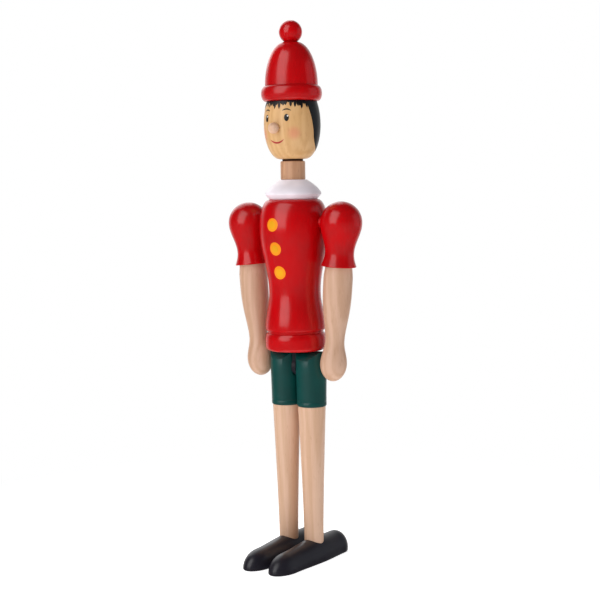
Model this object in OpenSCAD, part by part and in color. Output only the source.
// Jointed peg doll of turned and painted wood. It stands on two flat soles.
// Its head turns, its arms swing on one elastic cord and its legs swing on one steel axle.
// +Z is up, the doll faces -Y, and +X is its left side. All sizes are in millimetres.

/* [Shoes] */
// Length of a shoe from heel to toe
shoe_len = 65.5; // [54:0.5:70]
// Greatest width of a shoe
shoe_w = 17.2; // [15:0.1:20]
// Height of a shoe where the leg enters it
shoe_h = 12.4; // [10:0.1:15]
// Height of the shoe's widest line above the floor where the leg enters it
shoe_axis_z = 1.6; // [1:0.1:3]
// Distance from the heel back to the leg's axis
heel_reach = 26; // [18:0.1:28]
// Half width of the heel's flat end
heel_end_r = 4; // [3:0.1:5]
// Half width of the shoe where the heel begins to close
heel_r = 7.8; // [6.5:0.1:8.4]
// Length of the rounded heel
heel_len = 6.5; // [3:0.5:9]
// Half width of the shoe where the toe begins to close
toe_r = 7.5; // [6:0.1:8]
// Length of the rounded toe
toe_len = 12; // [7:0.5:14]
// Fall of the shoe's axis towards the toe, in degrees
shoe_fall = 1.6; // [0:0.2:2.4]
// Depth of the leg's socket in the shoe
ankle_socket = 6; // [4:0.5:8]

/* [Legs] */
// Radius of a leg at the ankle
ankle_r = 5.4; // [4.5:0.1:6.2]
// Radius of the bare leg just below the shorts
knee_r = 7.75; // [6.5:0.05:8]
// Radius of the shorts at their lower edge
shorts_r = 8.3; // [8.1:0.1:9]
// Radius of a leg at the hip
thigh_r = 8.6; // [8:0.1:9.5]
// Fullness of the bare leg's taper, where 1 is a straight cone
leg_bend = 1.35; // [1:0.05:1.6]
// Length of the bare leg between shoe and shorts
bare_len = 75; // [60:0.5:95]
// Length of the shorts from their lower edge to the hip axle
shorts_len = 22; // [16:0.5:30]
// Rounding of the shorts' lower edge
shorts_round = 0.9; // [0.4:0.1:1.5]
// Gap between the two legs
leg_gap = 0.3; // [0.2:0.1:1.5]

/* [Hips] */
// Distance of the legs behind the torso's axis
hip_back = 2; // [0:0.5:4]
// Radius of the steel hip axle
axle_r = 2; // [1.5:0.1:2.5]
// Thickness of the hip block's tongue between the legs
tongue_t = 2.6; // [2.2:0.2:5]
// Radius of the tongue's round end
tongue_end_r = 5; // [4.2:0.1:6.5]
// Width of the tongue above its round end
tongue_w = 8; // [5:0.5:8.2]
// Radius of the hip block's round tenon in the torso
hip_tenon_r = 10; // [8:0.5:12]
// Length of the hip block's tenon
hip_tenon_len = 9; // [6:0.5:14]
// Radius of the push-on caps that hold the axle
axle_cap_r = 3.1; // [2.8:0.1:3.4]
// Thickness of the push-on caps
axle_cap_t = 0.8; // [0.5:0.1:1.2]
// Radius of the wooden plugs that cover the axle's ends
plug_r = 3.7; // [3.5:0.1:4.5]
// Length of a plug at its middle
plug_len = 2.6; // [2:0.1:3.2]

/* [Torso] */
// Height of the torso
torso_h = 83.8; // [78:0.1:95]
// Radius of the jacket's hem
hem_r = 17; // [15.5:0.1:18.5]
// Height of the hem band below its groove
hem_h = 9.9; // [8.8:0.1:14]
// Rounding of the hem's lower edge
hem_round = 2.8; // [1.5:0.1:4.4]
// Rounding of the hem band's upper edge
band_round = 4; // [2:0.1:4.4]
// Depth of the groove above the hem
groove_depth = 1.5; // [1:0.1:2.5]
// Width of the groove's floor
groove_w = 1.2; // [0.5:0.1:1.5]
// Rounding of the jacket's edge above the groove
groove_round = 1.6; // [0.6:0.1:3]
// Radius of the jacket just above the groove
skirt_r = 16.8; // [15.5:0.1:18]
// Radius of the waist
waist_r = 14.4; // [13:0.1:15.5]
// Height of the waist above the hem's lower edge
waist_h = 32.4; // [26:0.1:38]
// Radius of the chest at the shoulders
chest_r = 19.2; // [18:0.1:21]
// Height of the torso's top above the widest part of the chest
chest_h = 15.4; // [11.8:0.1:23.8]
// Radius of the flat top that the collar sits on
torso_top_r = 13.4; // [11:0.1:15]

/* [Shoulders] */
// Height of the torso's top above the shoulder axis
shoulder_h = 12.9; // [9.8:0.1:17.8]
// Radius of the spacer between sleeve and torso
spacer_r = 3.6; // [3.2:0.1:6]
// Thickness of the spacer
spacer_t = 2; // [1.5:0.1:7]
// Radius of the hollow shoulder pegs
peg_r = 2.2; // [2:0.1:2.9]
// Radius of the cord hole through a shoulder peg
peg_hole_r = 1.2; // [1.1:0.1:1.5]
// Length of a shoulder peg inside the torso
peg_in = 6; // [4:0.5:9]
// Radius of the elastic cord
cord_r = 0.9; // [0.6:0.1:1]
// Radius of the knots at the cord's ends
knot_r = 1.9; // [1.7:0.1:2]

/* [Arms] */
// Radius of the sleeve's ball
ball_r = 11.5; // [10:0.1:12.5]
// Radius of the sleeve's narrow part
sleeve_neck_r = 7.95; // [7:0.1:9]
// Distance of the sleeve's narrow part below the shoulder axis
sleeve_neck_at = 16.5; // [13:0.1:19]
// Radius of the sleeve's cuff
cuff_r = 9.6; // [8.6:0.1:10.5]
// Length of the sleeve below the shoulder axis
sleeve_len = 23.8; // [22:0.1:28]
// Depth of the hollow in the cuff
cuff_depth = 2; // [1:0.1:3]
// Radius of the forearm's upper end
elbow_r = 7.3; // [6.5:0.1:7.8]
// Greatest radius of the forearm
forearm_r = 8; // [7.4:0.1:9]
// Distance of the forearm's widest part below the shoulder axis
forearm_at = 31; // [29:0.5:36]
// Fullness of the forearm above the wrist, where 1 is an even curve
forearm_bend = 1.6; // [1:0.1:2]
// Radius of the wrist
wrist_r = 5.3; // [4.5:0.1:6]
// Distance of the wrist above the hand's widest part
wrist_at = 12.5; // [7.5:0.5:17.5]
// Radius of the hand
hand_r = 7.35; // [6.5:0.05:8]
// Distance of the hand's widest part below the shoulder axis
hand_at = 77.5; // [74:0.5:84]
// Length of the hand below its widest part
hand_tip = 9.7; // [7:0.1:13]
// Radius of the forearm's tenon in the sleeve
arm_tenon_r = 4; // [3:0.1:4.5]
// Length of the forearm's tenon
arm_tenon_len = 9; // [6:0.5:10]

/* [Neck and collar] */
// Greatest radius of the collar
collar_r = 15.6; // [14.5:0.1:17]
// Radius of the collar's lower face
collar_base_r = 13.1; // [12:0.1:15]
// Height of the collar's widest part
collar_edge = 2.8; // [2:0.1:4]
// Fullness of the collar's slope, where 1 is a straight cone
collar_bend = 1.6; // [1.2:0.1:2]
// Radius of the collar's top
collar_top_r = 7.6; // [7:0.1:10]
// Height of the collar
collar_h = 10.8; // [8:0.1:15]
// Radius of the neck
neck_r = 6.85; // [6:0.05:7.4]
// Height of the neck
neck_h = 10.2; // [8:0.1:16]
// Rounding of the neck's edges
neck_round = 0.6; // [0.3:0.1:1]
// Radius of the fibre ring between neck and head
ring_r = 5.7; // [5:0.1:6.5]
// Thickness of the fibre ring
ring_t = 1.1; // [0.6:0.1:2]
// Radius of the dowel that the head turns on
dowel_r = 3; // [2.5:0.1:3.5]
// Radius of the retaining washer
washer_r = 4.8; // [4:0.1:5]
// Thickness of the retaining washer
washer_t = 0.8; // [0.5:0.1:1.2]
// Radius of the retaining screw's shank
screw_r = 1.2; // [1:0.1:1.5]
// Length of the retaining screw's shank
screw_len = 14; // [10:0.5:18]
// Radius of the retaining screw's head
screw_head_r = 2.7; // [2.2:0.1:3.2]
// Height of the retaining screw's head
screw_head_h = 1.6; // [1.2:0.1:2]
// Width of the slot in the screw's head
slot_w = 0.6; // [0.4:0.1:0.9]
// Depth of the slot in the screw's head
slot_depth = 0.8; // [0.5:0.1:1]

/* [Head] */
// Greatest radius of the head
head_r = 15.6; // [14.5:0.1:17]
// Height of the head's widest part above the chin
head_mid = 19; // [16:0.5:21]
// Height of the head
head_h = 39; // [36:0.5:42]
// Radius of the flat under the chin
chin_r = 7; // [6:0.1:8]
// Radius of the head's flat top
scalp_r = 7; // [6.5:0.1:9]
// Depth of the washer's pocket below the head's top
pocket_floor = 11; // [9:0.5:15]
// Radius of the button nose
nose_r = 3; // [2:0.1:3.6]
// Distance of the nose's centre outside the head's widest radius
nose_out = 1.5; // [0.8:0.1:2.2]
// Height of the nose above the chin
nose_h = 16.5; // [13:0.5:19]
// Radius of the nose's stem
nose_stem_r = 1.6; // [1.2:0.1:2]
// Length of the nose's stem inside the head
nose_stem_len = 7; // [5:0.5:9]

/* [Cap] */
// Depth that the cap reaches down over the head's top
cap_drop = 7.5; // [6:0.5:10]
// Greatest radius of the rolled brim
brim_r = 16.8; // [15.5:0.1:18]
// Height of the rolled brim
brim_h = 8.4; // [6:0.1:10]
// Depth of the roll's rounding
brim_roll = 2.6; // [1.5:0.1:3]
// Radius of the crown where it meets the brim
crown_r = 14.6; // [13.5:0.1:16]
// Height of the crown above the brim
crown_h = 23.9; // [18:0.1:32]
// Radius of the flat that the bobble sits on
bobble_seat_r = 3.4; // [2.8:0.1:4.5]
// Radius of the bobble
bobble_r = 6.4; // [5:0.1:8]
// Radius of the bobble's spigot
spigot_r = 2; // [1.5:0.1:2.4]
// Length of the bobble's spigot
spigot_len = 7; // [5:0.5:9]
// Length of the cap's peg inside the cap
cap_peg_up = 6; // [4:0.5:8]
// Length of the cap's peg inside the head
cap_peg_down = 5; // [3:0.5:6]

/* [Clearances] */
// Gap around pieces that are glued or pressed together
glue_gap = 0.05; // [0.02:0.01:0.1]
// Gap around pieces that turn in each other
run_gap = 0.05; // [0.02:0.01:0.1]
// Gap around the retaining washer in its pocket
pocket_gap = 0.7; // [0.4:0.1:1.2]
// Gap between a leg and the tongue beside it
side_gap = 0.2; // [0.1:0.05:0.4]
// Gap between a leg's round top and the hem
hem_gap = 0.4; // [0.3:0.05:1]
// Gap between a swinging arm and the legs, cap and head that it passes
arm_clear = 0.6; // [0.5:0.05:1.5]
// Free depth left at the closed end of a hole
end_gap = 0.3; // [0.1:0.05:0.6]
// Least wood left between two holes
least_wall = 1.6; // [1:0.1:2.5]
// Rise of a leg's round top over its own radius
hip_rise = 0.3; // [0.2:0.05:0.6]
// Gap around a spacer in its flat seat
seat_gap = 0.3; // [0.1:0.05:0.5]

/* [Hidden] */

$fn = 72;
steps = 14;

red = [0.78, 0.08, 0.12];
green = [0.1, 0.3, 0.28];
black = [0.13, 0.13, 0.15];
white = [0.9, 0.88, 0.9];
beech = [0.87, 0.71, 0.55];
golden = [0.83, 0.65, 0.44];
steel = [0.7, 0.71, 0.73];
cream = [0.88, 0.86, 0.8];
brown = [0.2, 0.12, 0.08];

// Length of a cut, longer than any one piece
cut = torso_h + head_h + shoe_len;

// Levels, from the floor up
shoe_draw = 2 * (shoe_h - shoe_axis_z) / shoe_w;
ankle_z = shoe_h - ankle_socket;
shorts_z = shoe_h + bare_len;
hip_z = shorts_z + shorts_len;
hip_round_r = thigh_r + hip_rise;
torso_z = hip_z + hip_round_r + hem_gap;
collar_z = torso_z + torso_h;
shoulder_z = collar_z - shoulder_h;
neck_z = collar_z + collar_h;
ring_z = neck_z + neck_h;
head_z = ring_z + ring_t + run_gap;
scalp_z = head_z + head_h;
pocket_z = scalp_z - pocket_floor;
cap_z = scalp_z - cap_drop;
bobble_z = cap_z + brim_h + crown_h;

// Places across the doll
leg_half_w = max(thigh_r, shorts_r, knee_r, shoe_w / 2, heel_r, toe_r);
leg_x = leg_half_w + leg_gap / 2;
leg_outer = leg_x + leg_half_w;
seat_r = spacer_r + seat_gap;
torso_flat = sqrt(chest_r * chest_r - seat_r * seat_r);
sleeve_seat = sqrt(ball_r * ball_r - seat_r * seat_r);
shoulder_x = torso_flat + run_gap + spacer_t + sleeve_seat;
arm_limit = max(leg_outer, brim_r, head_r, collar_r) + arm_clear;
arm_lean = asin((shoulder_x - hand_r - arm_limit) / hand_at);

// Places from front to back, with the doll's box centred on the origin
toe_reach = (shoe_len - heel_reach - toe_len) * cos(shoe_fall)
    + norm([toe_len * cos(shoe_fall), toe_r * sin(shoe_fall)]);
heel_drop = min(heel_end_r, heel_reach * tan(shoe_fall) + shoe_axis_z / shoe_draw / cos(shoe_fall));
heel_back = heel_reach * cos(shoe_fall) + heel_drop * sin(shoe_fall);
back_reach = max(hip_back + heel_back, chest_r);
axis_y = (toe_reach - hip_back - back_reach) / 2;
leg_y = axis_y + hip_back;

// Shoulder and hip fits
cord_bore_r = peg_hole_r;
peg_inner_x = torso_flat - peg_in;
peg_outer_x = shoulder_x - knot_r;
tongue_x = tongue_t / 2 + side_gap;
tongue_cross = sqrt(max(0, thigh_r * thigh_r - pow(leg_x - tongue_t / 2, 2)));
relief_r = max(tongue_end_r, norm([tongue_w / 2, tongue_cross])) + side_gap;
plug_x = leg_x + thigh_r - plug_len;
axle_end_x = plug_x - end_gap;
cap_floor_x = axle_end_x - axle_cap_t - 2 * end_gap;
dowel_depth = shoulder_h - peg_r - run_gap - least_wall;
dowel_top_z = pocket_z + run_gap;
pocket_r = washer_r + pocket_gap;

// A smooth step from a to b while u goes from 0 to 1
function ease(a, b, u) = a + (b - a) * (1 - cos(180 * u)) / 2;

// Profile points [radius, height] of a smooth step, where bend above 1 keeps the start fuller
function swell(r0, z0, r1, z1, bend = 1) =
    [for (i = [1:steps]) let (u = i / steps) [ease(r0, r1, pow(u, bend)), z0 + (z1 - z0) * u]];

// Quarter ellipse that starts upright at [r0, z0] and ends level at [r1, z1]
function closing(r0, z0, r1, z1) =
    [for (i = [1:steps]) let (a = 90 * i / steps)
        [r1 + (r0 - r1) * cos(a), z0 + (z1 - z0) * sin(a)]];

// Quarter ellipse that starts level at [r0, z0] and ends upright at [r1, z1]
function opening(r0, z0, r1, z1) =
    [for (i = [1:steps]) let (a = 90 * i / steps)
        [r0 + (r1 - r0) * sin(a), z1 + (z0 - z1) * cos(a)]];

// The head's outline from chin to scalp, grown by a gap
function head_profile(gap) = concat(
    [[0, -gap], [chin_r, -gap]],
    opening(chin_r, -gap, head_r + gap, head_mid),
    closing(head_r + gap, head_mid, scalp_r, head_h + gap),
    [[0, head_h + gap]]);

module turned(profile) rotate_extrude() polygon(profile);

module on_axis(z) translate([0, axis_y, z]) children();

module along_x(x, y, z) translate([x, y, z]) rotate([0, 90, 0]) children();

module right_side() mirror([1, 0, 0]) children();

// Torso and neck

module torso_blank() turned(concat(
    [[0, 0], [hem_r - hem_round, 0]],
    opening(hem_r - hem_round, 0, hem_r, hem_round),
    [[hem_r, hem_h - band_round]],
    closing(hem_r, hem_h - band_round, hem_r - groove_depth, hem_h),
    [[hem_r - groove_depth, hem_h + groove_w]],
    opening(hem_r - groove_depth, hem_h + groove_w, skirt_r, hem_h + groove_w + groove_round),
    swell(skirt_r, hem_h + groove_w + groove_round, waist_r, waist_h),
    swell(waist_r, waist_h, chest_r, torso_h - chest_h),
    closing(chest_r, torso_h - chest_h, torso_top_r, torso_h),
    [[0, torso_h]]));

module shoulder_cut() {
    along_x(peg_inner_x - end_gap, axis_y, shoulder_z) cylinder(r = peg_r + run_gap, h = cut);
    along_x(torso_flat, axis_y, shoulder_z) cylinder(r = seat_r, h = cut);
}

module torso() color(red) difference() {
    on_axis(torso_z) torso_blank();
    shoulder_cut();
    right_side() shoulder_cut();
    along_x(-cut / 2, axis_y, shoulder_z) cylinder(r = cord_bore_r, h = cut);
    on_axis(collar_z - dowel_depth) cylinder(r = dowel_r + glue_gap, h = cut);
    on_axis(torso_z - cut) cylinder(r = hip_tenon_r + glue_gap, h = cut + hip_tenon_len + end_gap);
}

module collar() color(white) on_axis(collar_z) difference() {
    turned(concat(
        [[0, 0], [collar_base_r, 0], [collar_r, collar_edge]],
        [for (i = [1:steps]) let (u = i / steps)
            [collar_r - (collar_r - collar_top_r) * pow(u, collar_bend),
             collar_edge + (collar_h - collar_edge) * u]],
        [[0, collar_h]]));
    translate([0, 0, -cut / 2]) cylinder(r = dowel_r + glue_gap, h = cut);
}

module neck_bead() color(golden) on_axis(neck_z) difference() {
    turned(concat(
        [[0, 0], [neck_r - neck_round, 0]],
        opening(neck_r - neck_round, 0, neck_r, neck_round),
        [[neck_r, neck_h - neck_round]],
        closing(neck_r, neck_h - neck_round, neck_r - neck_round, neck_h),
        [[0, neck_h]]));
    translate([0, 0, -cut / 2]) cylinder(r = dowel_r + glue_gap, h = cut);
}

module neck_ring() color(brown) on_axis(ring_z) difference() {
    cylinder(r = ring_r, h = ring_t);
    translate([0, 0, -cut / 2]) cylinder(r = dowel_r + glue_gap, h = cut);
}

module neck_dowel() color(beech) difference() {
    on_axis(collar_z - dowel_depth + end_gap)
        cylinder(r = dowel_r, h = dowel_top_z - collar_z + dowel_depth - end_gap);
    on_axis(dowel_top_z - screw_len - end_gap) cylinder(r = screw_r + glue_gap, h = cut);
}

module neck_washer() color(steel) on_axis(dowel_top_z) difference() {
    cylinder(r = washer_r, h = washer_t);
    translate([0, 0, -cut / 2]) cylinder(r = screw_r + glue_gap, h = cut);
}

module neck_screw() color(steel) on_axis(dowel_top_z + washer_t) difference() {
    turned(concat(
        [[0, -washer_t - screw_len], [screw_r, -washer_t - screw_len], [screw_r, 0], [screw_head_r, 0]],
        closing(screw_head_r, 0, 0, screw_head_h)));
    translate([-screw_head_r, -slot_w / 2, screw_head_h - slot_depth])
        cube([2 * screw_head_r, slot_w, screw_head_h]);
}

// Head and cap

module nose_blank(gap) {
    sphere(r = nose_r + gap);
    rotate([-90, 0, 0]) cylinder(r = nose_stem_r + gap, h = nose_out + nose_stem_len + gap);
}

module at_nose() translate([0, axis_y - head_r - nose_out, head_z + nose_h]) children();

module head() color(golden) difference() {
    on_axis(head_z) turned(head_profile(0));
    on_axis(head_z - cut / 2) cylinder(r = dowel_r + run_gap, h = cut);
    on_axis(pocket_z) cylinder(r = pocket_r, h = cut);
    at_nose() nose_blank(glue_gap);
}

module nose() color(beech) at_nose() nose_blank(0);

module cap() color(red) difference() {
    on_axis(cap_z) turned(concat(
        [[0, 0], [brim_r - brim_roll, 0]],
        opening(brim_r - brim_roll, 0, brim_r, brim_h / 2),
        closing(brim_r, brim_h / 2, crown_r, brim_h),
        closing(crown_r, brim_h, bobble_seat_r, brim_h + crown_h),
        [[0, brim_h + crown_h]]));
    on_axis(head_z) turned(head_profile(glue_gap));
    on_axis(scalp_z) cylinder(r = pocket_r, h = cap_peg_up + end_gap);
    on_axis(bobble_z - spigot_len - end_gap) cylinder(r = spigot_r + glue_gap, h = cut);
}

module cap_peg() color(beech) on_axis(scalp_z - cap_peg_down)
    cylinder(r = pocket_r - glue_gap, h = cap_peg_down + cap_peg_up);

module cap_bobble() color(red) on_axis(bobble_z) {
    difference() {
        translate([0, 0, sqrt(bobble_r * bobble_r - bobble_seat_r * bobble_seat_r)]) sphere(r = bobble_r);
        translate([0, 0, -cut]) cylinder(r = cut, h = cut);
    }
    translate([0, 0, -spigot_len]) cylinder(r = spigot_r, h = spigot_len + bobble_r);
}

// Arms, drawn on the left and mirrored to the right

module hanging_arm() translate([shoulder_x, axis_y, shoulder_z]) rotate([0, arm_lean, 0]) children();

module sleeve() color(red) difference() {
    hanging_arm() mirror([0, 0, 1]) turned(concat(
        [[0, -ball_r]],
        opening(0, -ball_r, ball_r, 0),
        swell(ball_r, 0, sleeve_neck_r, sleeve_neck_at),
        [for (i = [1:steps]) let (u = i / steps)
            [cuff_r - (cuff_r - sleeve_neck_r) * cos(90 * u),
             sleeve_neck_at + (sleeve_len - sleeve_neck_at) * u]],
        [[0, sleeve_len]]));
    hanging_arm() translate([0, 0, -sleeve_len - cut + cuff_depth])
        cylinder(r = elbow_r + seat_gap, h = cut);
    hanging_arm() translate([0, 0, -sleeve_len + cuff_depth - cut])
        cylinder(r = arm_tenon_r + glue_gap, h = cut + arm_tenon_len + end_gap);
    along_x(shoulder_x - sleeve_seat - cut, axis_y, shoulder_z) cylinder(r = seat_r + seat_gap, h = cut);
    along_x(0, axis_y, shoulder_z) cylinder(r = peg_r + glue_gap, h = peg_outer_x + 2 * knot_r + end_gap);
}

module forearm() color(beech) hanging_arm() mirror([0, 0, 1]) {
    elbow_at = sleeve_len - cuff_depth + glue_gap;
    turned(concat(
        [[0, elbow_at], [elbow_r, elbow_at]],
        swell(elbow_r, elbow_at, forearm_r, forearm_at),
        swell(forearm_r, forearm_at, wrist_r, hand_at - wrist_at, forearm_bend),
        swell(wrist_r, hand_at - wrist_at, hand_r, hand_at),
        closing(hand_r, hand_at, 0, hand_at + hand_tip)));
    translate([0, 0, elbow_at - arm_tenon_len]) cylinder(r = arm_tenon_r, h = arm_tenon_len + hand_tip);
}

module shoulder_peg() color(beech) along_x(peg_inner_x, axis_y, shoulder_z) difference() {
    cylinder(r = peg_r, h = peg_outer_x - peg_inner_x);
    translate([0, 0, -cut / 2]) cylinder(r = peg_hole_r, h = cut);
}

module shoulder_spacer() color(red)
    along_x(shoulder_x - sleeve_seat - spacer_t, axis_y, shoulder_z) difference() {
        cylinder(r = spacer_r, h = spacer_t);
        translate([0, 0, -cut / 2]) cylinder(r = peg_r + glue_gap, h = cut);
    }

module left_sleeve() sleeve();
module left_forearm() forearm();
module left_shoulder_peg() shoulder_peg();
module left_shoulder_spacer() shoulder_spacer();
module right_sleeve() right_side() sleeve();
module right_forearm() right_side() forearm();
module right_shoulder_peg() right_side() shoulder_peg();
module right_shoulder_spacer() right_side() shoulder_spacer();

module arm_elastic() color(cream) {
    knot_x = peg_outer_x + knot_r;
    along_x(-knot_x, axis_y, shoulder_z) cylinder(r = cord_r, h = 2 * knot_x);
    for (side = [-1, 1]) translate([side * knot_x, axis_y, shoulder_z]) sphere(r = knot_r);
}

// Hips

module hip_block() color(black) difference() {
    union() {
        on_axis(torso_z) cylinder(r = hip_tenon_r, h = hip_tenon_len);
        translate([-tongue_t / 2, leg_y - tongue_w / 2, hip_z])
            cube([tongue_t, tongue_w, torso_z - hip_z + hip_tenon_len / 2]);
        along_x(-tongue_t / 2, leg_y, hip_z) cylinder(r = tongue_end_r, h = tongue_t);
    }
    along_x(-cut / 2, leg_y, hip_z) cylinder(r = axle_r + glue_gap, h = cut);
}

module hip_axle() color(steel) along_x(-axle_end_x, leg_y, hip_z) cylinder(r = axle_r, h = 2 * axle_end_x);

module axle_cap() along_x(cap_floor_x + end_gap, leg_y, hip_z) difference() {
    cylinder(r = axle_cap_r, h = axle_cap_t);
    translate([0, 0, -cut / 2]) cylinder(r = axle_r + glue_gap, h = cut);
}

module hip_axle_caps() color(steel) {
    axle_cap();
    right_side() axle_cap();
}

// Legs and shoes, drawn on the left and mirrored to the right

module shorts_blank() translate([leg_x, leg_y, 0]) turned(concat(
    [[0, shorts_z], [shorts_r - shorts_round, shorts_z]],
    opening(shorts_r - shorts_round, shorts_z, shorts_r, shorts_z + shorts_round),
    swell(shorts_r, shorts_z + shorts_round, thigh_r, hip_z),
    [[thigh_r, hip_z + hip_round_r], [0, hip_z + hip_round_r]]));

module shorts() intersection() {
    shorts_blank();
    union() {
        translate([0, leg_y - cut / 2, 0]) cube([cut, cut, hip_z]);
        along_x(0, leg_y, hip_z) cylinder(r = hip_round_r, h = cut);
    }
}

module bare_leg() translate([leg_x, leg_y, 0]) turned(concat(
    [[0, ankle_z + glue_gap], [ankle_r, ankle_z + glue_gap], [ankle_r, shoe_h]],
    [for (i = [1:steps]) let (u = i / steps)
        [ankle_r + (knee_r - ankle_r) * pow(u, leg_bend), shoe_h + bare_len * u]],
    [[knee_r, shorts_z + shorts_round], [0, shorts_z + shorts_round]]));

module leg() difference() {
    union() {
        color(green) shorts();
        color(beech) bare_leg();
    }
    translate([tongue_x - cut, leg_y - cut / 2, hip_z]) cube([cut, cut, cut]);
    along_x(tongue_x - cut, leg_y, hip_z) cylinder(r = relief_r, h = cut);
    along_x(0, leg_y, hip_z) cylinder(r = axle_r + run_gap, h = cut);
    along_x(cap_floor_x, leg_y, hip_z) cylinder(r = plug_r + glue_gap, h = cut);
}

module hip_plug() color(green) intersection() {
    shorts_blank();
    along_x(plug_x, leg_y, hip_z) cylinder(r = plug_r, h = cut);
}

// A shoe is a turned shape, drawn up in height and planed flat underneath
module shoe() color(black) difference() {
    toe_at = shoe_len - toe_len;
    translate([leg_x, leg_y, shoe_axis_z]) scale([1, 1, shoe_draw]) rotate([90 + shoe_fall, 0, 0])
        translate([0, 0, -heel_reach]) turned(concat(
            [[0, 0], [heel_end_r, 0]],
            opening(heel_end_r, 0, heel_r, heel_len),
            swell(heel_r, heel_len, shoe_w / 2, heel_reach),
            swell(shoe_w / 2, heel_reach, toe_r, toe_at),
            closing(toe_r, toe_at, 0, shoe_len)));
    translate([0, leg_y - cut, -cut]) cube([cut, 2 * cut, cut]);
    translate([leg_x, leg_y, ankle_z]) cylinder(r = ankle_r + glue_gap, h = cut);
}

module left_leg() leg();
module left_hip_plug() hip_plug();
module left_shoe() shoe();
module right_leg() right_side() leg();
module right_hip_plug() right_side() hip_plug();
module right_shoe() right_side() shoe();

torso();
collar();
neck_bead();
neck_ring();
neck_dowel();
neck_washer();
neck_screw();
head();
nose();
cap();
cap_peg();
cap_bobble();
arm_elastic();
left_sleeve();
left_forearm();
left_shoulder_peg();
left_shoulder_spacer();
right_sleeve();
right_forearm();
right_shoulder_peg();
right_shoulder_spacer();
hip_block();
hip_axle();
hip_axle_caps();
left_leg();
left_hip_plug();
left_shoe();
right_leg();
right_hip_plug();
right_shoe();
